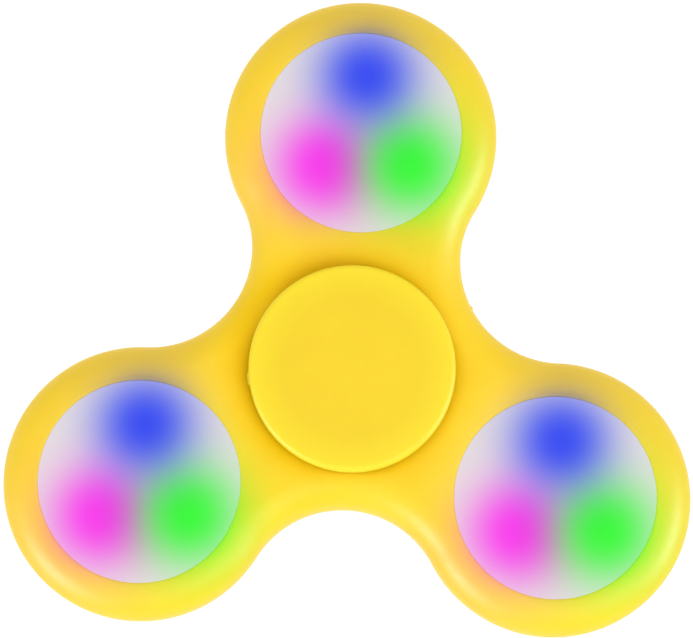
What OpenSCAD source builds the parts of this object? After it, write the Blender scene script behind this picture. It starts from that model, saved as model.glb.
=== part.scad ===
// Tri-lobe fidget spinner with a ball-bearing hub and a light pod in each lobe.
//
// Frame: the origin is the centre of the rear finger cap's flat face, on the spin axis.
// +Z runs along the spin axis towards the front, and lobe 1 points along +Y.
// Heights in the modules are measured from the spinner's mid plane, and in_row() lifts them
// into the frame. A light pod's modules are written about the pod's own axis, and in_pod()
// moves them to a lobe.

/* [Spinner body] */
// Diameter of the bearing bore and of the three pod bores
bore_d = 22; // [22:0.1:22.4]
// Distance from the spin axis to each pod's axis
pod_pitch = 26; // [25.8:0.1:28]
// Width of plastic around every bore
rim_wall = 3.95; // [3.9:0.05:4.6]
// Thickness of the body
body_t = 10; // [10:0.1:10.6]
// Radius of the rounded outer edge
edge_r = 3.6; // [3:0.1:3.6]
// Chamfer at the mouth of every bore
bore_chamfer = 0.25; // [0.15:0.05:0.25]
// Inward reach of the lip that the bearing seats on
seat_lip = 0.7; // [0.5:0.1:0.9]

/* [Finger caps] */
// Diameter of each finger cap
cap_d = 22.4; // [22:0.1:24]
// Thickness of a cap's disc
cap_t = 2.1; // [1.9:0.1:2.6]
// Free height between a cap and the body
cap_gap = 0.4; // [0.3:0.05:0.6]
// Rounding of the cap's outer edge
cap_edge_r = 0.6; // [0.4:0.1:0.8]
// Diameter of the boss that presses on the bearing's inner ring
cap_boss_d = 11.2; // [10:0.1:11.6]
// Diameter of the pin that joins the two caps
cap_pin_d = 4.6; // [4:0.1:5]

/* [Bearing] */
// Width of the bearing
bearing_w = 7; // [7:0.1:7.2]
// Bore of the bearing's inner ring
bearing_bore_d = 8; // [7.8:0.1:8]
// Diameter of a ball
ball_d = 3.969; // [3.9:0.001:3.97]
// Diameter of the circle through the ball centres
ball_pitch_d = 15; // [14.9:0.05:15.1]
// Number of balls
ball_count = 7; // [6:1:7]
// Radial play between a ball and each raceway
ball_play = 0.02; // [0.01:0.01:0.04]

/* [Light pods] */
// Diameter of the frosted lens and of the battery cover
lens_d = 21.8; // [21.6:0.1:21.8]
// Height of the lens crown above its edge
lens_crown = 0.7; // [0.5:0.1:1]
// Distance from the pod's axis to each LED
led_offset = 5.7; // [5.6:0.1:6]
// Distance from the pod's axis to each button cell
cell_offset = 5.8; // [5.75:0.05:5.85]
// Diameter of a button cell
cell_d = 7.9; // [7.8:0.1:7.9]
// Thickness of a button cell
cell_t = 3.6; // [3.5:0.1:3.6]
// Height that the push button stands out of the battery cover
button_out = 0.7; // [0.5:0.1:0.9]

/* [Hidden] */
$fn = 96;
fine_fn = 360;                       // for shallow crowns of large radius
eps = 0.01;                          // overlap of solids that are joined
over = 1;                            // how far a cutter runs past what it cuts
lobe_count = 3;
lobe_step = 360 / lobe_count;
first_lobe = 90;

// body
bore_r = bore_d / 2;
lobe_r = bore_r + rim_wall;
waist_r = pod_pitch - lobe_r;        // the lobe and waist arcs meet tangentially
half_t = body_t / 2;
bore_lap = 2;                        // lobe wall carried inside its bore before the bore is cut
waist_wall = edge_r + 1.4;           // depth of the swept wall along a waist arc
web_lap = 0.7;                       // overlap of that wall and the flat middle
seam_scale = 0.01;                   // the walls are joined this small, so rounding opens no seam
gate_r = 0.25;                       // trimmed moulding gate in the middle of one waist
gate_out = 0.16;
gate_root = 0.4;
gate_waist = 30;

// finger caps
cap_r = cap_d / 2;
cap_low = half_t + cap_gap;          // underside of the front cap's disc
cap_top = cap_low + cap_t;
stem_r = bearing_bore_d / 2;
stem_gap = 0.2;                      // free length between the two stems
pin_end = -4.4;
pin_end_gap = 0.3;
core_inner_r = cap_boss_d / 2 + 0.8; // annular recess that keeps a cap's wall even
core_outer_r = cap_r - 1.1;
core_depth = 0.9;
cap_gate_out = 0.12;                 // trimmed gate on the rim of a cap
cap_gate_arc = 6.5;
cap_gate_angle = 185;
cap_gate_h = 0.9;

// bearing
half_w = bearing_w / 2;
ball_r = ball_d / 2;
ball_pitch_r = ball_pitch_d / 2;
groove_r = 0.52 * ball_d;            // raceway section radius
inner_land_r = 6.1;
outer_land_r = 8.9;
shield_seat_r = 9.6;
shield_seat_depth = 0.75;
shield_inner_r = 6.3;
shield_t = 0.3;
shield_inset = 0.1;                  // the shield's flange ends this far below the ring's face
cage_inner_r = 6.75;
cage_outer_r = 8.25;
cage_low = -0.9;
cage_high = 2.25;
pocket_play = 0.1;

// light pod
pod_r = bore_r - 0.05;
lens_r = lens_d / 2;
carrier_low = -4.0;                  // rear face of the cell carrier
board_low = 0.5;
board_t = 0.8;
board_high = board_low + board_t;
cup_high = 3.9;
cup_inner_r = 10.2;
cup_play = 0.05;
cell_r = cell_d / 2;
cell_play = 0.1;
cell_bevel = 0.3;                    // rounding of the can's edges
cell_lid_h = 0.35;                   // height of the lid above the can's crimp
cell_lid_r = cell_r - 0.75;
lens_wall = 1.0;
lens_rebate = 0.05;                  // step of the crown above the lens edge
skirt_inner_r = 9.5;
skirt_low = 2.6;
cover_t = 1.2;
cover_low = carrier_low - cover_t;
rim_chamfer = 0.3;

// cell contacts
plate_t = 0.2;
plate_pad_r = 2.2;
plate_band = 1.6;
plate_play = 0.1;
leg_r = 10;
leg_w = 1.6;
leaf_l = 5;
leaf_w = 2;
leaf_t = 0.15;

// cover screws
screw_offset = 8.4;
screw_angle = 30;
screw_head_r = 1.4;
screw_head_t = 0.6;
screw_shank_r = 0.65;
screw_play = 0.15;
screw_seat = cover_low + 0.7;        // plane under the screw heads
screw_tip = -1.0;
recess_l = 1.8;                      // cross recess in a head
recess_w = 0.36;
recess_depth = 0.4;

// push button and snap dome
button_r = 2.4;
button_bevel = 0.4;
button_play = 0.2;
flange_r = 3.0;
flange_low = -4.7;
flange_t = 0.35;
flange_play = 0.3;
stem_hole_r = 1.45;
button_stem_r = 1.2;
dome_r = 1.9;
dome_h = 0.35;
dome_t = 0.1;
dome_play = 0.2;
stem_touch = 0.02;                   // gap between the button's stem and the dome

// board parts
led_side = 5;
led_h = 1.6;
led_window_r = 2;
led_window_depth = 0.2;
led_lead = [0.35, 0.9, 0.5];
led_lead_pitch = 1.6;
led_lead_out = 0.1;
blob_r = 2.1;
blob_h = 0.7;

yellow = [0.98, 0.80, 0.08];
frost = [0.93, 0.91, 0.93, 0.85];
white = [0.93, 0.93, 0.91];
steel = [0.72, 0.73, 0.75];
brass = [0.85, 0.70, 0.35];

// Radius of the sphere whose cap has this base radius and height.
function cap_sphere_r(base_r, h) = (pow(base_r, 2) + pow(h, 2)) / (2 * h);

function pods(name) = [for (p = [1:lobe_count]) str(name, "_", p)];
function pod_trios(name) = [for (p = [1:lobe_count], c = [1:3]) str(name, "_", p, "_", c)];

// ---------- placing ----------

module in_row() {
    translate([0, 0, cap_top]) children();
}

// Out along a direction in the XY plane, and turned to face it.
module spoke(radius, a) {
    rotate(a) translate([radius, 0, 0]) children();
}

// Three spokes.
module trio(radius, a = first_lobe) {
    for (k = [0:2]) spoke(radius, a + 120 * k) children();
}

// The pods all face the same way, so a pod is moved to its lobe and not turned.
module in_pod(p) {
    a = first_lobe + lobe_step * (p - 1);
    in_row() translate(pod_pitch * [cos(a), sin(a), 0]) children();
}

module disc(r, low, high) {
    translate([0, 0, low]) cylinder(r = r, h = high - low);
}

module ring(r_in, r_out, low, high) {
    difference() {
        disc(r_out, low, high);
        disc(r_in, low - over, high + over);
    }
}

// ---------- body ----------

// Section of the body's wall between two radii, with both corners of its outer edge rounded.
module rim_section(r_in, r_out) {
    flat_r = r_out - edge_r;
    translate([r_in, -half_t]) square([flat_r - r_in, body_t]);
    intersection() {
        translate([flat_r, -half_t]) square([edge_r, body_t]);
        union() {
            translate([flat_r, edge_r - half_t]) square([edge_r, body_t - 2 * edge_r]);
            for (side = [-1, 1]) translate([flat_r, side * (half_t - edge_r)]) circle(edge_r);
        }
    }
}

// The outward 240 degrees of one lobe's wall.
module lobe_sector(a) {
    spoke(pod_pitch, a) rotate(-120)
        rotate_extrude(angle = 240) rim_section(bore_r - bore_lap, lobe_r);
}

// The 120 degrees of wall that face one waist arc, whose centre lies outside the body.
module waist_sector(a) {
    spoke(pod_pitch, a) rotate(120) rotate_extrude(angle = 120)
        translate([waist_r + waist_wall, 0]) mirror([1, 0]) rim_section(0, waist_wall);
}

// Flat middle of the body: the hexagon of lobe and waist centres, clear of the waist arcs.
module hub_web() {
    difference() {
        rotate(first_lobe) translate([0, 0, -half_t]) cylinder(r = pod_pitch, h = body_t, $fn = 6);
        for (k = [0:lobe_count - 1]) spoke(pod_pitch, first_lobe + lobe_step * (k + 0.5))
            disc(waist_r + edge_r + web_lap, -half_t - over, half_t + over);
    }
}

// The body before its bores are cut.
module tri_lobe() {
    scale(1 / seam_scale) union() {
        scale(seam_scale) hub_web();
        for (k = [0:lobe_count - 1]) {
            scale(seam_scale) lobe_sector(first_lobe + lobe_step * k);
            scale(seam_scale) waist_sector(first_lobe + lobe_step * (k + 0.5));
        }
    }
}

module chamfer_cone(r) {
    translate([0, 0, half_t - bore_chamfer])
        cylinder(r1 = r, r2 = r + bore_chamfer + over, h = bore_chamfer + over);
}

module pod_bore() {
    disc(bore_r, -half_t - over, half_t + over);
    chamfer_cone(bore_r);
    mirror([0, 0, 1]) chamfer_cone(bore_r);
}

module bearing_bore() {
    disc(bore_r, -half_w, half_t + over);
    disc(bore_r - seat_lip, -half_t - over, 0);
    chamfer_cone(bore_r);
    mirror([0, 0, 1]) chamfer_cone(bore_r - seat_lip);
}

module spinner_body() {
    color(yellow) in_row() {
        difference() {
            tri_lobe();
            bearing_bore();
            for (k = [0:lobe_count - 1]) spoke(pod_pitch, first_lobe + lobe_step * k) pod_bore();
        }
        spoke(pod_pitch - waist_r - gate_root, gate_waist) rotate([0, 90, 0])
            cylinder(r = gate_r, h = gate_root + gate_out);
    }
}

// ---------- finger caps ----------

// Section of a cap's disc, whose outer top corner is rounded.
module cap_disc_section() {
    translate([0, cap_low]) square([cap_r - cap_edge_r, cap_t]);
    translate([0, cap_low]) square([cap_r, cap_t - cap_edge_r]);
    intersection() {
        translate([cap_r - cap_edge_r, cap_top - cap_edge_r]) circle(cap_edge_r);
        translate([cap_r - cap_edge_r, cap_top - cap_edge_r]) square(cap_edge_r);
    }
}

// Disc, boss, bearing stem and rim gate: what the two caps share, facing +Z.
module cap_blank() {
    difference() {
        rotate_extrude() cap_disc_section();
        ring(core_inner_r, core_outer_r, cap_low - over, cap_low + core_depth);
    }
    disc(cap_boss_d / 2, half_w, cap_low + eps);
    disc(stem_r, stem_gap / 2, half_w + eps);
    rotate(cap_gate_angle) rotate_extrude(angle = cap_gate_arc)
        translate([cap_r - gate_root, cap_low]) square([gate_root + cap_gate_out, cap_gate_h]);
}

module front_cap() {
    color(yellow) in_row() {
        cap_blank();
        disc(cap_pin_d / 2, pin_end, stem_gap / 2 + eps);
    }
}

module rear_cap() {
    color(yellow) in_row() difference() {
        mirror([0, 0, 1]) cap_blank();
        disc(cap_pin_d / 2, pin_end - pin_end_gap, 0);
    }
}

// ---------- bearing ----------

// A raceway groove whose deepest line is at depth_r. side is 1 for the outer ring, -1 for the inner.
module raceway(depth_r, side) {
    rotate_extrude() translate([depth_r - side * groove_r, 0]) circle(groove_r);
}

module bearing_outer_ring() {
    color(steel) in_row() difference() {
        ring(outer_land_r, bore_r, -half_w, half_w);
        raceway(ball_pitch_r + ball_r + ball_play, 1);
        for (side = [0, 1]) mirror([0, 0, side])
            disc(shield_seat_r, half_w - shield_seat_depth, half_w + over);
    }
}

module bearing_inner_ring() {
    color(steel) in_row() difference() {
        ring(stem_r, inner_land_r, -half_w, half_w);
        raceway(ball_pitch_r - ball_r - ball_play, -1);
    }
}

// Pressed washer with an upturned outer flange, facing +Z.
module bearing_shield() {
    washer_low = half_w - shield_seat_depth;
    color(steel) {
        ring(shield_inner_r, shield_seat_r, washer_low, washer_low + shield_t);
        ring(shield_seat_r - shield_t, shield_seat_r, washer_low + shield_t - eps, half_w - shield_inset);
    }
}

module bearing_front_shield() {
    in_row() bearing_shield();
}

module bearing_rear_shield() {
    in_row() mirror([0, 0, 1]) bearing_shield();
}

module at_ball(b) {
    in_row() spoke(ball_pitch_r, first_lobe + 360 / ball_count * (b - 1)) children();
}

module bearing_ball() {
    color("silver") sphere(r = ball_r);
}

// Crown cage: a ring with a spherical pocket for each ball, open to the rear.
module bearing_cage() {
    color("ivory") difference() {
        in_row() ring(cage_inner_r, cage_outer_r, cage_low, cage_high);
        for (b = [1:ball_count]) at_ball(b) sphere(r = ball_r + pocket_play);
    }
}

// ---------- light pod ----------

// Frosted lens: a shallow spherical crown over a flat rim, with a skirt that plugs into the cup.
module lens() {
    crown_r = cap_sphere_r(lens_r, lens_crown);
    crown_z = half_t + lens_crown - crown_r;
    shoulder_r = lens_r - rim_chamfer;
    color(frost) {
        rotate_extrude() difference() {
            intersection() {
                translate([0, crown_z]) circle(crown_r, $fn = fine_fn);
                polygon([
                    [0, cup_high],
                    [lens_r, cup_high],
                    [lens_r, half_t - rim_chamfer],
                    [shoulder_r, half_t + lens_rebate],
                    [shoulder_r, half_t + over],
                    [0, half_t + over]
                ]);
            }
            intersection() {
                translate([0, crown_z]) circle(crown_r - lens_wall, $fn = fine_fn);
                translate([0, cup_high - over]) square([skirt_inner_r, body_t]);
            }
        }
        ring(skirt_inner_r, cup_inner_r - cup_play, skirt_low, cup_high + eps);
    }
}

// Cell carrier below, and the cup that holds the board and the lens above.
module pod_cup() {
    color(white) difference() {
        disc(pod_r, carrier_low, cup_high);
        disc(cup_inner_r, board_low, cup_high + over);
        trio(cell_offset) disc(cell_r + cell_play, carrier_low - over, board_low + over);
        disc(stem_hole_r, carrier_low - over, board_low + over);
        disc(dome_r + dome_play, board_low - dome_h - plate_play, board_low + over);
        trio(screw_offset, screw_angle) disc(screw_shank_r, carrier_low - over, screw_tip + cell_play);
        return_leg(plate_play, over);
    }
}

// Round board with the controller's resin blob on its front.
module circuit_board() {
    sphere_r = cap_sphere_r(blob_r, blob_h);
    color("seagreen") {
        disc(cup_inner_r - cup_play, board_low, board_high);
        intersection() {
            translate([0, 0, board_high + blob_h - sphere_r]) sphere(r = sphere_r);
            disc(blob_r + over, board_high - eps, board_high + blob_h + over);
        }
    }
}

// Surface-mounted LED at an angle about the pod, with a round window and three leads a side.
module led(a, tint) {
    color(tint) translate(led_offset * [cos(a), sin(a), 0]) {
        difference() {
            translate([-led_side / 2, -led_side / 2, board_high]) cube([led_side, led_side, led_h]);
            disc(led_window_r, board_high + led_h - led_window_depth, board_high + led_h + over);
        }
        for (side = [-1, 1], row = [-1:1])
            translate([side * (led_side / 2 + led_lead_out), row * led_lead_pitch, board_high]
                - [led_lead[0] / 2, led_lead[1] / 2, 0]) cube(led_lead);
    }
}

// Snap dome under the board: its rim is on the board and its apex faces the button.
module switch_dome() {
    sphere_r = cap_sphere_r(dome_r, dome_h);
    color("lightgray") translate([0, 0, board_low]) rotate_extrude() intersection() {
        difference() {
            translate([0, sphere_r - dome_h]) circle(sphere_r, $fn = fine_fn);
            translate([0, sphere_r - dome_h]) circle(sphere_r - dome_t, $fn = fine_fn);
        }
        translate([0, -dome_h - over]) square([dome_r, dome_h + over]);
    }
}

// Button with a flange that the cover retains and a stem that reaches the snap dome.
module push_button() {
    face = cover_low - button_out;
    color("gainsboro") {
        rotate_extrude() polygon([
            [0, face],
            [button_r - button_bevel, face],
            [button_r, face + button_bevel],
            [button_r, flange_low],
            [flange_r, flange_low],
            [flange_r, flange_low + flange_t],
            [0, flange_low + flange_t]
        ]);
        disc(button_stem_r, flange_low + flange_t - eps, board_low - dome_h - stem_touch);
    }
}

// Button cell with its can towards the rear.
module button_cell() {
    crimp_z = cell_t - cell_lid_h;
    color(steel) rotate_extrude() polygon([
        [0, 0],
        [cell_r - cell_bevel, 0],
        [cell_r, cell_bevel],
        [cell_r, crimp_z - cell_bevel],
        [cell_r - cell_bevel, crimp_z],
        [cell_lid_r, crimp_z],
        [cell_lid_r, cell_t],
        [0, cell_t]
    ]);
}

// Places cell c of a pod. Cell 2 lies the other way up, to put the three in series.
module in_pocket(c) {
    flipped = c == 2 ? 1 : 0;
    spoke(cell_offset, first_lobe + 120 * (c - 1))
        translate([0, 0, carrier_low + cell_t * flipped]) mirror([0, 0, flipped]) children();
}

// Three arched leaf contacts under the board, one over each cell.
module board_contacts() {
    drop = board_low - leaf_t - (carrier_low + cell_t);
    bow_r = cap_sphere_r(leaf_l / 2, drop);
    color(brass) trio(cell_offset) translate([0, leaf_w / 2, board_low]) rotate([90, 0, 0])
        linear_extrude(leaf_w) {
            translate([-leaf_l / 2, -leaf_t]) square([leaf_l, leaf_t]);
            intersection() {
                translate([0, bow_r - drop - leaf_t]) difference() {
                    circle(bow_r, $fn = fine_fn);
                    circle(bow_r - leaf_t, $fn = fine_fn);
                }
                translate([-leaf_l / 2, -drop - leaf_t - over]) square([leaf_l, drop + over + 1.5 * leaf_t]);
            }
        }
}

// Pad of a cover contact under cell c.
module contact_pad(c, grow) {
    spoke(cell_offset, first_lobe + 120 * (c - 1))
        disc(plate_pad_r + grow, carrier_low - plate_t - grow, carrier_low);
}

// Plate that joins cells 1 and 2 inside the cover.
module link_plate(grow) {
    contact_pad(1, grow);
    contact_pad(2, grow);
    rotate(first_lobe) rotate_extrude(angle = 120)
        translate([cell_offset - plate_band / 2 - grow, carrier_low - plate_t - grow])
            square([plate_band + 2 * grow, plate_t + grow]);
}

// Plate under cell 3, with a tongue out to the return leg.
module return_foot(grow) {
    contact_pad(3, grow);
    spoke(cell_offset, 330) translate([0, -leg_w / 2 - grow, carrier_low - plate_t - grow])
        cube([leg_r - cell_offset + grow, leg_w + 2 * grow, plate_t + grow]);
}

// Leg from that plate up to the board. grow and past enlarge it into its slot.
module return_leg(grow, past) {
    spoke(leg_r, 330) translate([-plate_t - grow, -leg_w / 2 - grow, carrier_low - past])
        cube([plate_t + 2 * grow, leg_w + 2 * grow, board_low - carrier_low + past + (grow > 0 ? past : 0)]);
}

module cover_contacts() {
    color(brass) {
        link_plate(0);
        return_foot(0);
        return_leg(0, eps);
    }
}

module battery_cover() {
    color(white) difference() {
        rotate_extrude() polygon([
            [0, cover_low],
            [lens_r - rim_chamfer, cover_low],
            [lens_r, cover_low + rim_chamfer],
            [lens_r, carrier_low],
            [0, carrier_low]
        ]);
        disc(button_r + button_play, cover_low - over, carrier_low + over);
        disc(flange_r + flange_play, flange_low, carrier_low + over);
        trio(screw_offset, screw_angle) {
            disc(screw_shank_r + screw_play, cover_low - over, carrier_low + over);
            disc(screw_head_r + screw_play, cover_low - over, screw_seat);
        }
        link_plate(plate_play);
        return_foot(plate_play);
    }
}

// Three pan-head screws with cross recesses, heads towards the rear.
module cover_screws() {
    head_low = screw_seat - screw_head_t;
    color(steel) trio(screw_offset, screw_angle) difference() {
        union() {
            disc(screw_head_r, head_low, screw_seat);
            disc(screw_shank_r, screw_seat - eps, screw_tip);
        }
        for (turn = [0, 90]) rotate(turn)
            translate([-recess_l / 2, -recess_w / 2, head_low - over])
                cube([recess_l, recess_w, recess_depth + over]);
    }
}

// ---------- what is shown ----------

spinner_body();
front_cap();
rear_cap();
bearing_outer_ring();
bearing_inner_ring();
bearing_cage();
bearing_front_shield();
bearing_rear_shield();
for (b = [1:ball_count])
    at_ball(b) bearing_ball();
for (p = [1:lobe_count]) {
    in_pod(p) lens();
    in_pod(p) pod_cup();
    in_pod(p) circuit_board();
    in_pod(p) led(90, [0.25, 0.3, 0.97]);
    in_pod(p) led(210, [0.96, 0.2, 0.91]);
    in_pod(p) led(330, [0.24, 0.97, 0.24]);
    in_pod(p) switch_dome();
    in_pod(p) push_button();
    for (c = [1:3])
        in_pod(p) in_pocket(c) button_cell();
    in_pod(p) board_contacts();
    in_pod(p) cover_contacts();
    in_pod(p) battery_cover();
    in_pod(p) cover_screws();
}
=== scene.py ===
import bpy
import bmesh
import math
from mathutils import Vector, Matrix
from mathutils.geometry import delaunay_2d_cdt


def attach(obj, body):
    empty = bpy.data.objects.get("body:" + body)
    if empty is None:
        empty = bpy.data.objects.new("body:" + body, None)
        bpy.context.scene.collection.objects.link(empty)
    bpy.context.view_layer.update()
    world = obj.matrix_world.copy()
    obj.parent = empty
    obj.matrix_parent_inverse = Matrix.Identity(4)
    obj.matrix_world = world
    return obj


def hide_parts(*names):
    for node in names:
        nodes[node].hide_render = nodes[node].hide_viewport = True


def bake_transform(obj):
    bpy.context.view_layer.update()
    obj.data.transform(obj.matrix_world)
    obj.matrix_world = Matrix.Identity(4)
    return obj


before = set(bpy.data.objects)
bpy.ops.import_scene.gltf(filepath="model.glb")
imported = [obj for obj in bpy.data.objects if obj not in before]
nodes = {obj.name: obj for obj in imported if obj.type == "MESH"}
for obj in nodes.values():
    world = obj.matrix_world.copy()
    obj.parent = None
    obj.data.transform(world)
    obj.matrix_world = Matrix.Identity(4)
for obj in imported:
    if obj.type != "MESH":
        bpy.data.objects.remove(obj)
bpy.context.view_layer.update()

# Fidget spinner with light-up pods: finished meshes for the pieces that show and for the snap domes,
# materials for every piece, and the studio. Lengths are in metres in the CAD's frame: +Z runs along
# the spin axis from the rear cap to the front one, and lobe 1 points along +Y.

MM = 0.001
SHARP = math.radians(35)           # new meshes are shaded sharp where they turn by more than this
CAD_SHARP = math.radians(30)

# Body
MID = 7.5 * MM                     # the spinner's mid plane
TOP = MID + 5 * MM                 # front face of the body
REAR = MID - 5 * MM
PITCH = 26 * MM                    # from the spin axis to a pod's axis
LOBE_R = 14.935 * MM
WAIST_R = PITCH - LOBE_R           # lobe and waist arcs meet tangentially
LOBES = [math.radians(90 + 120 * k) for k in range(3)]
EDGE_R = 3.6 * MM
BORE_R = 11 * MM
POD_BORE_R = 10.96 * MM            # at the lens, which fits its bore closely
BEARING_LOW = MID - 3.5 * MM       # the bearing sits on a ledge in the hub bore
LEDGE = 0.7 * MM
MOUTH = 0.14 * MM                  # width of the chamfer at the mouth of each bore
MOUTH_DROP = 0.09 * MM             # and its depth
SEAM = 0.02 * MM                   # how far the mould's parting line stands out
SEAM_STEPS = ((1, 0.09 * MM), (0.3, 0.05 * MM), (0, 0.02 * MM))    # inset in SEAMs, height over MID

# Trimmed moulding gate on a waist
GATE_ANGLE = math.radians(31)
GATE_R = 0.27 * MM
GATE_ROOT = -0.24 * MM             # along the gate from the waist's wall
GATE_TIP = 0.22 * MM
GATE_TAPER = 0.8
GATE_RINGS = 7
GATE_SIDES = 12

# Finger caps, with heights over the mid plane
CAP_R = 11.2 * MM
CAP_LOW = 5.4 * MM                 # underside of the disc
CAP_HIGH = 7.5 * MM
CAP_ROUND = 0.6 * MM
CAP_LOW_ROUND = 0.2 * MM
CAP_FLAT_RINGS = (0, 3 * MM, 7 * MM)
RECESS_OUT_R = 10.1 * MM           # ring cut out of the underside
RECESS_IN_R = 6.4 * MM
RECESS_DEPTH = 0.9 * MM
BOSS_R = 5.6 * MM                  # stands on the bearing's inner ring
BOSS_END = 3.5 * MM
STEM_R = 4 * MM                    # fills the bearing's bore
STEM_END = 0.1 * MM
PIN_R = 2.3 * MM                   # the front cap's pin goes into the rear cap's socket
PIN_END = -4.4 * MM
PIN_CHAMFER = 0.1 * MM
SOCKET_END = 4.7 * MM

# Trimmed gate on a cap's rim
RIM_GATE_FROM = math.radians(184)
RIM_GATE_TO = math.radians(191.5)
RIM_GATE_OUT = 0.2 * MM
RIM_GATE_ROOT = -0.3 * MM
RIM_GATE_STEPS = 10

# Frosted lens
LENS_R = 10.957 * MM
LENS_CROWN = 0.7 * MM
LENS_T = 1 * MM
LENS_DOME_R = LENS_R - 0.13 * MM
LENS_EDGE = ((0.05, 0.008), (0.025, -0.005), (0.008, -0.02), (0, -0.045))    # inset, height over TOP, mm
LENS_SKIRT_LOW = MID + 3.9 * MM
LENS_PLUG_R = 10.15 * MM           # the ring that plugs into the pod cup
LENS_PLUG_IN_R = 9.5 * MM
LENS_PLUG_LOW = MID + 2.6 * MM

# Battery cover
COVER_R = 10.9 * MM
COVER_LOW = MID - 5.2 * MM         # its rear face
COVER_HIGH = MID - 4 * MM
COVER_ROUND = 0.3 * MM
COVER_RIM_IN_R = 10.2 * MM         # a low rim stands round the inner face
COVER_INNER = COVER_HIGH - 0.25 * MM
SOFT = 0.12 * MM                   # rounding at the groove and holes, and the groove's depth
GROOVE_OUT_R = 4.6 * MM
GROOVE_IN_R = 4.1 * MM
BUTTON_HOLE_R = 2.6 * MM
FLANGE_POCKET_R = 3.3 * MM
FLANGE_LOW = MID - 4.7 * MM        # ledge that keeps the button's flange in
SCREW_PITCH = 8.4 * MM
SCREW_ANGLES = (30, 150, 270)
SCREW_SEAT_R = 1.55 * MM
SCREW_SEAT_DEPTH = 0.7 * MM
SCREW_HOLE_R = 0.8 * MM

# Push button and its snap dome
BUTTON_R = 2.4 * MM
BUTTON_OUT = 0.7 * MM              # how far its face stands out of the cover
BUTTON_ROUND = 0.3 * MM
BUTTON_CROWN = 0.14 * MM
FLANGE_R = 3 * MM
FLANGE_T = 0.35 * MM
BUTTON_STEM_R = 1.2 * MM
BUTTON_STEM_CHAMFER = 0.1 * MM
BOARD_LOW = MID + 0.5 * MM
DOME_R = 1.9 * MM
DOME_RISE = 0.35 * MM
DOME_SHEET = 0.1 * MM
DOME_GAP = 0.02 * MM               # from the button's stem to the dome's apex

# Glow centres about a pod's axis, with the reach of each in the lens and, as glow painted into the colour, in
# the plastic round it.
# "seen" is a display colour and "spill" a linear one.
GLOW = {
    "magenta": {"at": (-3.87 * MM, -3.85 * MM), "reach": 5.48 * MM, "power": 2.22, "peak": 0.956,
                "seen": (0.997, 0.205, 0.942), "spill": (0.96, 0.05, 0.36), "spill_peak": 0.57,
                "spill_from": 5.5 * MM, "spill_reach": 1.9 * MM},
    "green": {"at": (5.43 * MM, -3.39 * MM), "reach": 5.50 * MM, "power": 2.17, "peak": 0.838,
              "seen": (0.113, 1.0, 0.116), "spill": (0.05, 0.90, 0.015), "spill_peak": 0.73,
              "spill_from": 4.7 * MM, "spill_reach": 3.3 * MM},
    "blue": {"at": (0.41 * MM, 6.22 * MM), "reach": 5.43 * MM, "power": 2.17, "peak": 0.735,
             "seen": (0.0, 0.111, 0.983), "spill": (0.07, 0.09, 0.25), "spill_peak": 0.62,
             "spill_from": 5.1 * MM, "spill_reach": 2.0 * MM},
}
SPILL_LIMIT = 0.8
SPILL_FULL_Z = TOP - 0.8 * MM      # the spill is full from here to the front and fades to none at MID
HUB_SPILL = 0.3                    # share of the spill that shows within HUB_SPILL_R
HUB_SPILL_R = 12 * MM
FULL_SPILL_R = 18 * MM

# Painted shade: the plastic round the caps is painted darker, more orange and less glossy where the caps'
# shadow falls, centred a little up and to the left of the spin axis
SHADE_CENTRE = (-1.2 * MM, 0.8 * MM)
SHADE_R = 11.3 * MM
SHADE_END_R = 13.9 * MM
GLOSS = 0.38
SHADE_GLOSS = 0.12

# Painted glow: a cap's face is painted brighter towards its edge, starting at the first of these radii and
# full at the second.
RIM_GLOW_FROM = 7.5 * MM
RIM_GLOW_FULL = 11.1 * MM


def polar(r, a):
    return Vector((r * math.cos(a), r * math.sin(a)))


def pod_centre(k):
    return polar(PITCH, LOBES[k])


# ---------- mesh helpers ----------

def make_object(name, verts, faces):
    mesh = bpy.data.meshes.new(name)
    mesh.from_pydata([tuple(v) for v in verts], [], faces, shade_flat=False)
    mesh.validate()
    mesh.update()
    obj = bpy.data.objects.new(name, mesh)
    bpy.context.scene.collection.objects.link(obj)
    return obj


def make_solid(name, verts, faces):
    """Welds a solid and turns its faces outwards. Level faces are shaded flat, the others smooth."""
    obj = make_object(name, verts, faces)
    solid = bmesh.new()
    solid.from_mesh(obj.data)
    bmesh.ops.remove_doubles(solid, verts=solid.verts, dist=1e-7)
    bmesh.ops.recalc_face_normals(solid, faces=solid.faces)
    solid.to_mesh(obj.data)
    solid.free()
    for poly in obj.data.polygons:
        poly.use_smooth = abs(poly.normal.z) < 0.99999
    obj.data.set_sharp_from_angle(angle=SHARP)
    return obj


def arc(cx, cz, r, a0, a1, steps):
    """Points of an arc in a section, angles in degrees."""
    angles = [math.radians(a0 + (a1 - a0) * i / steps) for i in range(steps + 1)]
    return [(cx + r * math.cos(a), cz + r * math.sin(a)) for a in angles]


def lathe(profile, steps, verts, faces, centre=(0, 0)):
    """Revolves (radius, height) points about a vertical axis. A radius of 0 makes a pole."""
    rings = []
    for r, z in profile:
        start = len(verts)
        if r < 1e-9:
            verts.append((centre[0], centre[1], z))
        else:
            for i in range(steps):
                a = 2 * math.pi * i / steps
                verts.append((centre[0] + r * math.cos(a), centre[1] + r * math.sin(a), z))
        rings.append(list(range(start, len(verts))))
    for a, b in zip(rings, rings[1:]):
        for i in range(steps):
            j = (i + 1) % steps
            if len(a) == 1:
                faces.append((a[0], b[i], b[j]))
            elif len(b) == 1:
                faces.append((a[i], b[0], a[j]))
            else:
                faces.append((a[i], b[i], b[j], a[j]))
    return rings


def lathed_solid(name, profile, steps):
    verts, faces = [], []
    lathe(profile, steps, verts, faces)
    return make_solid(name, verts, faces)


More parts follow.
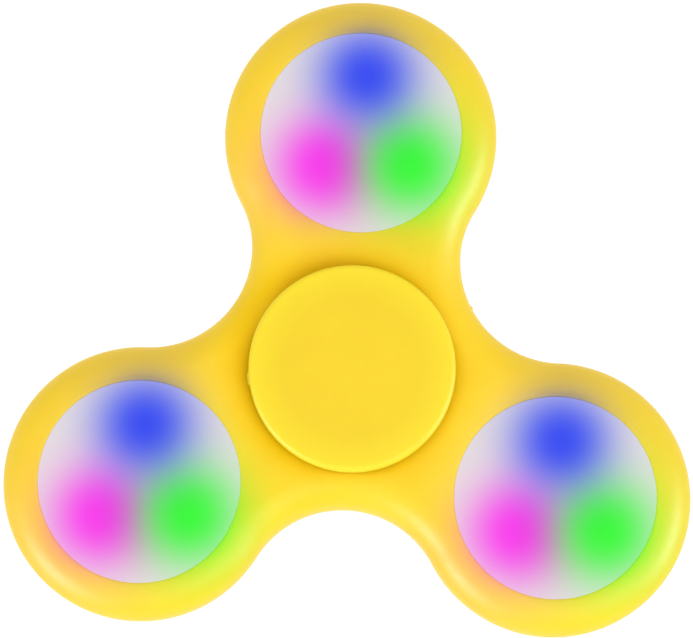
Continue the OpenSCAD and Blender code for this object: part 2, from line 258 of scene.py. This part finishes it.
def stub(rings, verts, faces):
    """Joins rings of points that follow one another and closes both ends."""
    base = len(verts)
    sides = len(rings[0])
    for ring in rings:
        verts += ring
    for i in range(len(rings) - 1):
        near = base + sides * i
        far = near + sides
        for j in range(sides):
            k = (j + 1) % sides
            faces.append((near + j, near + k, far + k, far + j))
    faces.append(tuple(base + j for j in range(sides)))
    faces.append(tuple(len(verts) - 1 - j for j in range(sides)))


def in_loop(p, loop):
    """Whether a point in plan is inside a closed loop of points."""
    hit = False
    for a, b in zip(loop, loop[1:] + loop[:1]):
        if (a[1] > p[1]) != (b[1] > p[1]) and p[0] < (b[0] - a[0]) * (p[1] - a[1]) / (b[1] - a[1]) + a[0]:
            hit = not hit
    return hit


def fill_flat(outer, holes, verts, faces):
    """Triangles between an outer loop and round holes, on vertices that already exist."""
    index, coords, edges, loops = [], [], [], []
    for loop in [outer, *holes]:
        start = len(coords)
        for i, v in enumerate(loop):
            index.append(v)
            coords.append(Vector(verts[v][:2]) / MM)
            edges.append((start + i, start + (i + 1) % len(loop)))
        loops.append([tuple(p) for p in coords[start:]])
    new_coords, _, tris, origin = delaunay_2d_cdt(coords, edges, [], 0, 1e-6)[:4]
    for tri in tris:
        c = sum((new_coords[i] for i in tri), Vector((0, 0))) / 3
        if in_loop(c, loops[0]) and not any(in_loop(c, loop) for loop in loops[1:]):
            faces.append(tuple(index[origin[i][0]] for i in tri))


# ---------- body ----------

def outline(lobe_steps=150, waist_steps=60):
    """Points of the body's outline with their outward normals: lobe and waist arcs in turn."""
    out = []
    for a in LOBES:
        c = polar(PITCH, a)
        for i in range(lobe_steps):
            t = a + math.radians(-120 + 240 * i / lobe_steps)
            out.append((c + polar(LOBE_R, t), polar(1, t)))
        w = polar(PITCH, a + math.radians(60))
        for i in range(waist_steps):
            t = a + math.radians(120 - 120 * i / waist_steps)
            out.append((w - polar(WAIST_R, t), polar(1, t)))
    return out


def edge_profile(steps=18):
    """(inset, height) down the outer wall, from the front flat to the rear one."""
    upper = []
    for i in range(steps + 1):
        a = math.radians(90 * i / steps)
        upper.append((SEAM + EDGE_R * (1 - math.sin(a)), TOP - EDGE_R * (1 - math.cos(a))))
    upper += [(share * SEAM, MID + height) for share, height in SEAM_STEPS]
    return upper + [(d, 2 * MID - z) for d, z in reversed(upper)]


def bore_profile(front_r, rear_r):
    """Down a bore's wall from the front flat to the rear one, with a step between its two radii."""
    return [(front_r + MOUTH, TOP), (front_r, TOP - MOUTH_DROP), (front_r, BEARING_LOW),
            (rear_r, BEARING_LOW), (rear_r, REAR + MOUTH_DROP), (rear_r + MOUTH, REAR)]


def waist_gate():
    """Rings of the ragged stub that the trimmed gate left in the middle of a waist."""
    wall = polar(PITCH - WAIST_R, GATE_ANGLE)
    out = polar(1, GATE_ANGLE)
    side = polar(1, GATE_ANGLE + math.pi / 2)
    rings = []
    for i in range(GATE_RINGS):
        f = i / (GATE_RINGS - 1)
        axis = wall + out * (GATE_ROOT + (GATE_TIP - GATE_ROOT) * f)
        ring = []
        for j in range(GATE_SIDES):
            t = 2 * math.pi * j / GATE_SIDES
            ragged = 1 + 0.12 * math.sin(3 * t + 1.0) + 0.07 * math.sin(5 * t)
            r = GATE_R * ragged * math.sqrt(1 - (GATE_TAPER * f) ** 2)
            p = axis + side * (r * math.cos(t))
            ring.append((p.x, p.y, MID + r * math.sin(t)))
        rings.append(ring)
    return rings


def body_shell():
    verts, faces, rows = [], [], []
    path = outline()
    n = len(path)
    for d, z in edge_profile():
        rows.append(list(range(len(verts), len(verts) + n)))
        for p, normal in path:
            q = p - normal * d
            verts.append((q.x, q.y, z))
    for a, b in zip(rows, rows[1:]):
        for i in range(n):
            j = (i + 1) % n
            faces.append((a[i], a[j], b[j], b[i]))
    bores = [lathe(bore_profile(BORE_R, BORE_R - LEDGE), 180, verts, faces)]
    for k in range(3):
        bores.append(lathe(bore_profile(POD_BORE_R, BORE_R), 180, verts, faces, pod_centre(k)))
    fill_flat(rows[0], [rings[0] for rings in bores], verts, faces)
    fill_flat(rows[-1], [rings[-1] for rings in bores], verts, faces)
    stub(waist_gate(), verts, faces)
    return make_solid("body_shell", verts, faces)


# ---------- caps ----------

def rim_gate():
    """Rings of the ragged sliver that the trimmed gate left along a cap's rim."""
    rings = []
    for i in range(RIM_GATE_STEPS + 1):
        a = RIM_GATE_FROM + (RIM_GATE_TO - RIM_GATE_FROM) * i / RIM_GATE_STEPS
        ends = min(1, 4 * math.sin(math.pi * i / RIM_GATE_STEPS))
        bulge = RIM_GATE_OUT * ends * (0.75 + 0.25 * math.sin(9 * i))
        ring = []
        for out, up in ((RIM_GATE_ROOT, 0.05 * MM), (bulge, 0.1 * MM), (bulge, 1.1 * MM),
                        (RIM_GATE_ROOT, 1.25 * MM)):
            p = polar(CAP_R + out, a)
            ring.append((p.x, p.y, CAP_LOW + up))
        rings.append(ring)
    return rings


def cap_mesh(name, side):
    """Finger cap with its boss and stem. side is 1 at the front and -1 at the rear."""
    prof = [(r, CAP_HIGH) for r in CAP_FLAT_RINGS]
    prof += arc(CAP_R - CAP_ROUND, CAP_HIGH - CAP_ROUND, CAP_ROUND, 90, 0, 10)
    prof += arc(CAP_R - CAP_LOW_ROUND, CAP_LOW + CAP_LOW_ROUND, CAP_LOW_ROUND, 0, -90, 4)
    prof += [(RECESS_OUT_R, CAP_LOW), (RECESS_OUT_R, CAP_LOW + RECESS_DEPTH),
             (RECESS_IN_R, CAP_LOW + RECESS_DEPTH), (RECESS_IN_R, CAP_LOW), (BOSS_R, CAP_LOW),
             (BOSS_R, BOSS_END), (STEM_R, BOSS_END), (STEM_R, STEM_END), (PIN_R, STEM_END)]
    if side > 0:
        prof += [(PIN_R, PIN_END + PIN_CHAMFER), (PIN_R - PIN_CHAMFER, PIN_END), (0, PIN_END)]
    else:
        prof += [(PIN_R, SOCKET_END), (0, SOCKET_END)]
    verts, faces = [], []
    lathe(prof, 240, verts, faces)
    stub(rim_gate(), verts, faces)
    return make_solid(name, [(x, y, MID + side * z) for x, y, z in verts], faces)


# ---------- pieces of a pod, about its axis ----------

def lens_mesh(name):
    """Frosted lens: a shallow dome with a softened edge, and the ring that plugs it in."""
    crown_r = (LENS_R ** 2 + LENS_CROWN ** 2) / (2 * LENS_CROWN)
    crown_z = TOP + LENS_CROWN - crown_r
    inner_r = crown_r - LENS_T
    outside = [LENS_DOME_R * i / 40 for i in range(41)]
    inside = [LENS_PLUG_IN_R * i / 12 for i in range(12, -1, -1)]
    prof = [(r, crown_z + math.sqrt(crown_r ** 2 - r ** 2)) for r in outside]
    prof += [(LENS_R - inset * MM, TOP + rise * MM) for inset, rise in LENS_EDGE]
    prof += [(LENS_R, LENS_SKIRT_LOW), (LENS_PLUG_R, LENS_SKIRT_LOW), (LENS_PLUG_R, LENS_PLUG_LOW),
             (LENS_PLUG_IN_R, LENS_PLUG_LOW)]
    prof += [(r, crown_z + math.sqrt(inner_r ** 2 - r ** 2)) for r in inside]
    return lathed_solid(name, prof, 200)


def soft_mouth(r):
    """Rounding where a hole of radius r opens in the battery cover's rear face."""
    return arc(r + SOFT, COVER_LOW + SOFT, SOFT, -90, -180, 4)


def cover_mesh(name):
    """Battery cover: rounded rim, ring groove, button hole and screw seats."""
    verts, faces = [], []
    wall = arc(COVER_R - COVER_ROUND, COVER_LOW + COVER_ROUND, COVER_ROUND, -90, 0, 6)
    wall += [(COVER_R, COVER_HIGH), (COVER_RIM_IN_R, COVER_HIGH), (COVER_RIM_IN_R, COVER_INNER)]
    wall = lathe(wall, 200, verts, faces)
    groove = soft_mouth(GROOVE_OUT_R) + arc(GROOVE_IN_R - SOFT, COVER_LOW + SOFT, SOFT, 0, -90, 4)
    groove = lathe(groove, 120, verts, faces)
    hole = soft_mouth(BUTTON_HOLE_R)
    hole += [(BUTTON_HOLE_R, FLANGE_LOW), (FLANGE_POCKET_R, FLANGE_LOW), (FLANGE_POCKET_R, COVER_INNER)]
    hole = lathe(hole, 96, verts, faces)
    seat_z = COVER_LOW + SCREW_SEAT_DEPTH
    seat = soft_mouth(SCREW_SEAT_R)
    seat += [(SCREW_SEAT_R, seat_z), (SCREW_HOLE_R, seat_z), (SCREW_HOLE_R, COVER_INNER)]
    seats = [lathe(seat, 60, verts, faces, polar(SCREW_PITCH, math.radians(a))) for a in SCREW_ANGLES]
    fill_flat(wall[0], [groove[0]] + [rings[0] for rings in seats], verts, faces)
    fill_flat(groove[-1], [hole[0]], verts, faces)
    fill_flat(wall[-1], [hole[-1]] + [rings[-1] for rings in seats], verts, faces)
    return make_solid(name, verts, faces)


def button_mesh(name):
    """Push button: crowned face, flange and stem."""
    face_z = COVER_LOW - BUTTON_OUT
    face_r = BUTTON_R - BUTTON_ROUND
    stem_z = BOARD_LOW - DOME_RISE - DOME_GAP
    prof = [(face_r * i / 8, face_z + BUTTON_CROWN * (i / 8) ** 2) for i in range(9)]
    prof += arc(face_r, face_z + BUTTON_CROWN + BUTTON_ROUND, BUTTON_ROUND, -78, 0, 6)
    prof += [(BUTTON_R, FLANGE_LOW), (FLANGE_R, FLANGE_LOW), (FLANGE_R, FLANGE_LOW + FLANGE_T),
             (BUTTON_STEM_R, FLANGE_LOW + FLANGE_T), (BUTTON_STEM_R, stem_z - BUTTON_STEM_CHAMFER),
             (BUTTON_STEM_R - BUTTON_STEM_CHAMFER, stem_z), (0, stem_z)]
    return lathed_solid(name, prof, 96)


def dome_mesh(name):
    """Snap dome under the board: rim on the board and apex towards the button."""
    sphere = (DOME_R ** 2 + DOME_RISE ** 2) / (2 * DOME_RISE)
    centre = BOARD_LOW - DOME_RISE + sphere
    inner = sphere - DOME_SHEET
    inner_rim = math.sqrt(inner ** 2 - (centre - BOARD_LOW) ** 2)
    outside = [DOME_R * i / 14 for i in range(15)]
    inside = [inner_rim * i / 12 for i in range(12, -1, -1)]
    prof = [(r, centre - math.sqrt(sphere ** 2 - r ** 2)) for r in outside]
    prof += [(r, centre - math.sqrt(inner ** 2 - r ** 2)) for r in inside]
    return lathed_solid(name, prof, 72)


# ---------- materials ----------

class Paint:
    """A node material under construction."""

    def __init__(self, name):
        self.mat = bpy.data.materials.new(name)
        self.mat.use_nodes = True
        self.tree = self.mat.node_tree
        self.tree.nodes.clear()
        self.out = self.add("ShaderNodeOutputMaterial")
        self.shader = self.add("ShaderNodeBsdfPrincipled")
        self.tree.links.new(self.shader.outputs[0], self.out.inputs[0])
        self.coords = self.add("ShaderNodeTexCoord").outputs["Object"]

    def feed(self, socket, value):
        """Links a node's output to a socket, or sets a plain value on it."""
        if isinstance(value, bpy.types.NodeSocket):
            self.tree.links.new(value, socket)
        else:
            socket.default_value = value

    def add(self, kind, inputs=None, **props):
        node = self.tree.nodes.new(kind)
        for key, value in props.items():
            setattr(node, key, value)
        for key, value in (inputs or {}).items():
            self.feed(node.inputs[key], value)
        return node

    def math(self, op, a, b=0.0):
        return self.add("ShaderNodeMath", {0: a, 1: b}, operation=op).outputs[0]

    def mix(self, share, a, b, blend="MIX"):
        """Mixes two colours, each a socket or a plain (r, g, b)."""
        a, b = ((*c, 1) if isinstance(c, tuple) else c for c in (a, b))
        node = self.add("ShaderNodeMix", {0: share, 6: a, 7: b}, data_type="RGBA", blend_type=blend)
        return node.outputs[2]

    def noise(self, scale, detail):
        return self.add("ShaderNodeTexNoise", {"Vector": self.coords, "Scale": scale, "Detail": detail,
                                               "Roughness": 0.6}).outputs["Fac"]

    def remap(self, value, lo, hi, to_lo, to_hi):
        return self.add("ShaderNodeMapRange", {"Value": value, "From Min": lo, "From Max": hi,
                                               "To Min": to_lo, "To Max": to_hi}).outputs[0]

    def spread(self, noise, to_lo, to_hi):
        """Spreads a noise, which mostly stays between 0.3 and 0.7, over a range."""
        return self.remap(noise, 0.3, 0.7, to_lo, to_hi)

    def flat_distance(self, centre):
        """Distance in plan from a point (x, y)."""
        plan = self.add("ShaderNodeVectorMath", {0: self.coords, 1: (1, 1, 0)}, operation="MULTIPLY")
        return self.add("ShaderNodeVectorMath", {0: plan.outputs[0], 1: (*centre, 0)},
                        operation="DISTANCE").outputs["Value"]

    def set(self, **values):
        """Feeds the shader's sockets, with an underscore for each space in a name."""
        for key, value in values.items():
            self.feed(self.shader.inputs[key.replace("_", " ")], value)

    def bump(self, height, strength, distance):
        node = self.add("ShaderNodeBump", {"Height": height, "Strength": strength, "Distance": distance})
        self.feed(self.shader.inputs["Normal"], node.outputs[0])


def add_spill(p, colour, pods):
    """Coloured light of the pods painted into the plastic's colour as a glow: in its front half, and little
    of it at the hub.
    """
    height = p.add("ShaderNodeSeparateXYZ", {0: p.coords}).outputs[2]
    near_front = p.remap(height, MID, SPILL_FULL_Z, 0, 1)
    past_hub = p.remap(p.flat_distance((0, 0)), HUB_SPILL_R, FULL_SPILL_R, HUB_SPILL, 1)
    let_through = p.math("MULTIPLY", near_front, past_hub)
    for c in pods:
        for g in GLOW.values():
            d = p.flat_distance((c[0] + g["at"][0], c[1] + g["at"][1]))
            run = p.math("DIVIDE", p.math("SUBTRACT", d, g["spill_from"]), -g["spill_reach"])
            fade = p.math("MULTIPLY", p.math("EXPONENT", run), g["spill_peak"])
            share = p.math("MULTIPLY", p.math("MINIMUM", fade, SPILL_LIMIT), let_through)
            colour = p.mix(share, colour, g["spill"])
    return colour


def yellow_plastic(name, low, high, pods=(), rim=None, hub_shade_colour=None):
    """Translucent yellow between two colours. pods are the centres whose coloured light is painted into it as
    a glow; rim is a brighter colour painted towards a cap's edge as painted glow; and the shade colour is
    painted shade, a darker, duller colour with less gloss where the caps' shadow falls."""
    p = Paint(name)
    mottle = p.noise(160, 4)
    grain = p.noise(2600, 3)
    colour = p.mix(p.spread(mottle, 0, 1), low, high)
    gloss = GLOSS
    # Painted glow: the colour brightens towards a cap's edge.
    if rim:
        colour = p.mix(p.remap(p.flat_distance((0, 0)), RIM_GLOW_FROM, RIM_GLOW_FULL, 0, 1), colour, rim)
    # Painted shade: a darker, duller colour and less gloss round the caps, where their shadow falls.
    if hub_shade_colour:
        shade = p.remap(p.flat_distance(SHADE_CENTRE), SHADE_R, SHADE_END_R, 1, 0)
        colour = p.mix(shade, colour, hub_shade_colour)
        gloss = p.remap(shade, 0, 1, GLOSS, SHADE_GLOSS)
    # Painted glow: the pods' coloured light is painted into the plastic's colour.
    if pods:
        colour = add_spill(p, colour, pods)
    p.set(Base_Color=colour, Roughness=p.spread(grain, 0.43, 0.51), Specular_IOR_Level=gloss,
          Subsurface_Weight=0.35, Subsurface_Radius=(1.0, 0.6, 0.12), Subsurface_Scale=1.8 * MM)
    p.bump(grain, 0.1, 0.02 * MM)
    return p.mat


def frosted_lens(name):
    """White frosting lit from inside. The glows are mixed as display colours, then made linear."""
    p = Paint(name)
    white = (0.919, 0.891, 0.890)
    speck = p.noise(1800, 3)
    colour = p.mix(p.spread(speck, 0, 1), tuple(0.992 * c for c in white), white)
    for g in GLOW.values():
        shape = p.math("POWER", p.math("DIVIDE", p.flat_distance(g["at"]), g["reach"]), g["power"])
        fade = p.math("MULTIPLY", p.math("EXPONENT", p.math("MULTIPLY", shape, -1)), g["peak"])
        colour = p.mix(fade, colour, g["seen"])
    linear = p.add("ShaderNodeGamma", {"Color": colour, "Gamma": 2.2}).outputs[0]
    p.set(Base_Color=p.mix(1.0, linear, (0.40, 0.40, 0.40), "MULTIPLY"), Emission_Color=linear,
          Emission_Strength=0.54, Roughness=p.spread(speck, 0.42, 0.58), Specular_IOR_Level=0.08)
    p.bump(speck, 0.2, 0.02 * MM)
    return p.mat


def grained(name, low, high, scale, rough, metal=0.0, light=None):
    """A worn surface between two colours, with matching roughness and bump."""
    p = Paint(name)
    broad = p.noise(scale, 4)
    fine = p.noise(scale * 9, 2)
    both = p.math("ADD", p.math("MULTIPLY", broad, 0.5), p.math("MULTIPLY", fine, 0.5))
    p.set(Base_Color=p.mix(p.spread(broad, 0, 1), low, high), Metallic=metal, Specular_IOR_Level=0.5,
          Roughness=p.remap(both, 0.35, 0.65, *rough))
    if light:
        p.set(Emission_Color=(*light, 1), Emission_Strength=1.5)
    p.bump(fine, 0.3, 0.01 * MM)
    return p.mat


def give(obj, mat):
    obj.data.materials.clear()
    obj.data.materials.append(mat)


# What a node's name starts with: material, darker and lighter colour, noise scale, roughness, metallic.
FINISHES = {
    "bearing_outer_ring": ("ground_steel", (0.45, 0.46, 0.48), (0.62, 0.63, 0.65), 300, (0.18, 0.32), 1.0),
    "bearing_shield": ("pressed_steel", (0.50, 0.51, 0.53), (0.60, 0.61, 0.63), 200, (0.28, 0.42), 1.0),
    "bearing_ball": ("polished_steel", (0.62, 0.63, 0.65), (0.70, 0.71, 0.72), 500, (0.05, 0.12), 1.0),
    "bearing_cage": ("nylon", (0.70, 0.64, 0.48), (0.78, 0.72, 0.56), 400, (0.4, 0.55)),
    "pod_cup": ("pod_plastic", (0.78, 0.78, 0.76), (0.86, 0.86, 0.84), 300, (0.35, 0.5)),
    "circuit_board": ("solder_mask", (0.02, 0.16, 0.06), (0.03, 0.22, 0.08), 500, (0.25, 0.4)),
    "switch_dome": ("spring_steel", (0.55, 0.55, 0.56), (0.66, 0.66, 0.67), 700, (0.15, 0.3), 1.0),
    "push_button": ("button_plastic", (0.60, 0.60, 0.585), (0.65, 0.65, 0.635), 700, (0.3, 0.4)),
    "button_cell": ("cell_nickel", (0.55, 0.55, 0.54), (0.68, 0.68, 0.66), 300, (0.2, 0.35), 1.0),
    "board_contacts": ("plated_brass", (0.62, 0.46, 0.18), (0.74, 0.57, 0.26), 500, (0.2, 0.35), 1.0),
    "battery_cover": ("cover_plastic", (0.66, 0.66, 0.645), (0.70, 0.70, 0.685), 500, (0.34, 0.46)),
    "cover_screws": ("zinc_steel", (0.56, 0.56, 0.56), (0.66, 0.66, 0.65), 1400, (0.25, 0.4), 1.0),
}

# An LED's darker and lighter colour, and its light.
LEDS = {
    "led_blue": ((0.10, 0.14, 0.85), (0.14, 0.2, 0.95), (0.1, 0.15, 1)),
    "led_magenta": ((0.85, 0.08, 0.75), (0.95, 0.14, 0.85), (1, 0.08, 0.8)),
    "led_green": ((0.06, 0.80, 0.06), (0.1, 0.95, 0.1), (0.08, 1, 0.08)),
}

paints = {key: grained(*finish) for key, finish in FINISHES.items()}
for key, (low, high, light) in LEDS.items():
    paints[key] = grained(f"{key}_lit", low, high, 600, (0.2, 0.3), light=light)
paints["bearing_inner_ring"] = paints["bearing_outer_ring"]
paints["bearing_front_shield"] = paints["bearing_shield"]
paints["bearing_rear_shield"] = paints["bearing_shield"]
paints["cover_contacts"] = paints["board_contacts"]

# ---------- pieces ----------

body = body_shell()
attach(body, "rotor")
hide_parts("spinner_body")
# The last colour is painted shade round the caps.
give(body, yellow_plastic("body_yellow", (0.94, 0.632, 0.003), (0.97, 0.660, 0.005),
                          pods=[pod_centre(k) for k in range(3)], hub_shade_colour=(0.94, 0.59, 0.002)))

# Painted glow: the rim colour brightens the caps towards their edge.
cap_paint = yellow_plastic("cap_yellow", (0.872, 0.622, 0.005), (0.90, 0.645, 0.008), rim=(0.95, 0.72, 0.012))
for name, node, side in (("cap_front_shell", "front_cap", 1), ("cap_rear_shell", "rear_cap", -1)):
    cap = cap_mesh(name, side)
    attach(cap, "grip")
    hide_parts(node)
    give(cap, cap_paint)

lens_paint = frosted_lens("lens_glow")
for k in range(3):
    c = pod_centre(k)
    lens = lens_mesh(f"lens_dome_{k + 1}")
    lens.location = (c.x, c.y, 0)
    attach(lens, "rotor")
    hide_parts(f"lens_{k + 1}")
    give(lens, lens_paint)

# A snap dome sits between the rotor and the button, its rim on the rotor's board and its apex under the
# button. Here it rides on neither; its placement is baked into its mesh.
for k in range(3):
    c = pod_centre(k)
    for make, piece, node, rider, finish in (
            (cover_mesh, "cover_shell", "battery_cover", "rotor", "cover_white"),
            (button_mesh, "button_cap", "push_button", f"button_{k + 1}", "button_white"),
            (dome_mesh, "snap_dome", "switch_dome", None, "dome_steel")):
        obj = make(f"{piece}_{k + 1}")
        obj.location = (c.x, c.y, 0)
        if rider:
            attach(obj, rider)
        else:
            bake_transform(obj)
        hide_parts(f"{node}_{k + 1}")
        give(obj, paints[node])

for name, obj in nodes.items():
    for key in sorted(paints, key=len, reverse=True):
        if name.startswith(key):
            give(obj, paints[key])
            obj.data.shade_smooth()
            obj.data.set_sharp_from_angle(angle=CAD_SHARP)
            break

# ---------- stage, light and camera ----------

FLOOR_Z = -0.6                     # far below, so no shadow shows on it and low views clear it
floor_verts, floor_faces = [], []
lathe([(0, FLOOR_Z), (1, FLOOR_Z), (10, FLOOR_Z)], 64, floor_verts, floor_faces)
floor = make_object("studio_floor", floor_verts, floor_faces)
paper = Paint("floor_paper")
whites = paper.mix(paper.spread(paper.noise(60, 3), 0, 1), (0.93, 0.93, 0.93), (0.95, 0.95, 0.95))
paper.set(Base_Color=whites, Roughness=0.9, Specular_IOR_Level=0.1, Emission_Color=(1, 1, 1, 1),
          Emission_Strength=0.18)
give(floor, paper.mat)

scene = bpy.context.scene
scene.view_settings.view_transform = "Standard"
scene.world = bpy.data.worlds.new("studio")
scene.world.use_nodes = True
background = scene.world.node_tree.nodes["Background"]
background.inputs["Color"].default_value = (1, 1, 1, 1)
background.inputs["Strength"].default_value = 0.855


def softbox(name, azimuth, elevation, distance, width, height, power, diffuse=True):
    """Area light aimed at the spinner, angles in degrees. Azimuth is counted from +X towards +Y."""
    a = math.radians(azimuth)
    e = math.radians(elevation)
    away = Vector((math.cos(a) * math.cos(e), math.sin(a) * math.cos(e), math.sin(e)))
    light = bpy.data.lights.new(name, "AREA")
    light.shape = "RECTANGLE"
    light.size = width
    light.size_y = height
    light.energy = power
    obj = bpy.data.objects.new(name, light)
    obj.location = away * distance
    obj.rotation_euler = away.to_track_quat("Z", "Y").to_euler()
    obj.visible_diffuse = diffuse
    scene.collection.objects.link(obj)


# The two strips show in the gloss only.
softbox("key", 315, 52, distance=0.7, width=0.45, height=0.45, power=1.5)
softbox("low_fill", 235, 18, distance=0.6, width=0.3, height=0.3, power=0.5)
softbox("right_strip", 347, 17, distance=0.6, width=0.24, height=0.3, power=3.5, diffuse=False)
softbox("left_strip", 222, 17, distance=0.6, width=0.2, height=0.3, power=3.7, diffuse=False)


def photo_camera(target, distance, tilt, azimuth, roll, focal):
    """Camera tilted off the spin axis towards an azimuth, which is counted from -Y towards +X."""
    data = bpy.data.cameras.new("photo_camera")
    data.sensor_width = 36
    data.lens = focal
    data.clip_start = 0.01
    data.clip_end = 20
    e = math.pi / 2 - tilt
    back = Vector((math.sin(azimuth) * math.cos(e), -math.cos(azimuth) * math.cos(e), math.sin(e)))
    level_up = Vector((-math.sin(azimuth) * math.sin(e), math.cos(azimuth) * math.sin(e), math.cos(e)))
    level_right = level_up.cross(back)
    right = level_right * math.cos(roll) + level_up * math.sin(roll)
    up = level_up * math.cos(roll) - level_right * math.sin(roll)
    turn = Matrix((right, up, back)).transposed().to_4x4()
    camera = bpy.data.objects.new("photo_camera", data)
    camera.matrix_world = Matrix.Translation(target + back * distance) @ turn
    scene.collection.objects.link(camera)
    scene.camera = camera


photo_camera(target=Vector((-0.797, 5.769, 10)) * MM, distance=0.45, tilt=math.radians(5.874),
             azimuth=math.radians(-2.351), roll=math.radians(4.591), focal=214.2)
